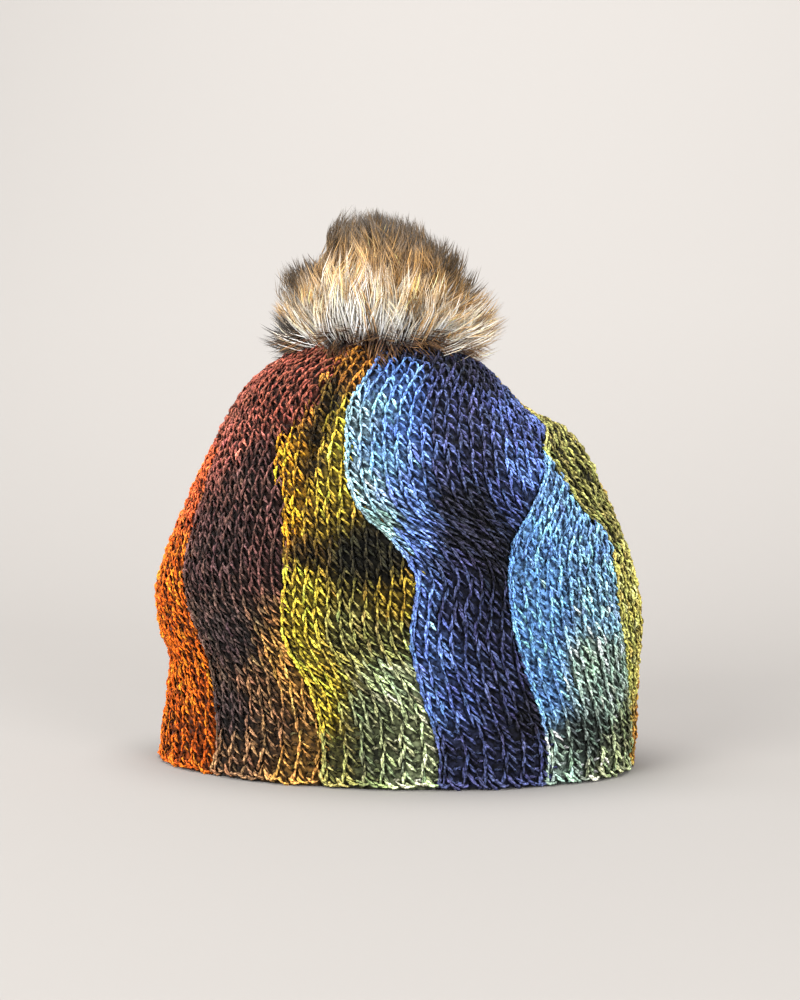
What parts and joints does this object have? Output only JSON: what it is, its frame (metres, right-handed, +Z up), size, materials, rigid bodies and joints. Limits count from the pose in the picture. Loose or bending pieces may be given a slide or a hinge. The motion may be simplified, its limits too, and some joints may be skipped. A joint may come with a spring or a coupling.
{
  "type": "bobble hat",
  "caption": "Hand-knitted bobble hat in wavy upright colour panels, standing on its ribbed rim, with a large fur pompom on the crown and an open hollow for the head.",
  "frame": {"origin": "centre of the bounding box, on the plane that the rim stands on", "axes": "+Z up from the rim to the pompom, +X to the right of the front view, -Y towards the front"},
  "size_m": [0.2376, 0.1674, 0.2648],
  "materials": {
    "orange_yarn": "soft wool yarn, orange",
    "brown_yarn": "soft wool yarn, rust to dark plum and tan",
    "mustard_yarn": "soft wool yarn, gold to olive and sage",
    "navy_yarn": "soft wool yarn, light blue to navy",
    "sky_yarn": "soft wool yarn, sky blue to sage",
    "olive_yarn": "soft wool yarn, olive to gold",
    "rust_yarn": "soft wool yarn, rust",
    "plum_yarn": "soft wool yarn, plum",
    "green_yarn": "soft wool yarn, green",
    "blue_yarn": "soft wool yarn, blue",
    "pompom_fur": "long soft fur, cream and tan with dark tips"
  },
  "bodies": {
    "root": {"gore_orange": "orange_yarn", "gore_brown": "brown_yarn", "gore_mustard": "mustard_yarn", "gore_navy": "navy_yarn", "gore_sky": "sky_yarn", "gore_olive": "olive_yarn", "gore_rust": "rust_yarn", "gore_plum": "plum_yarn", "gore_green": "green_yarn", "gore_blue": "blue_yarn", "pompom": "pompom_fur"}
  },
  "joints": []
}
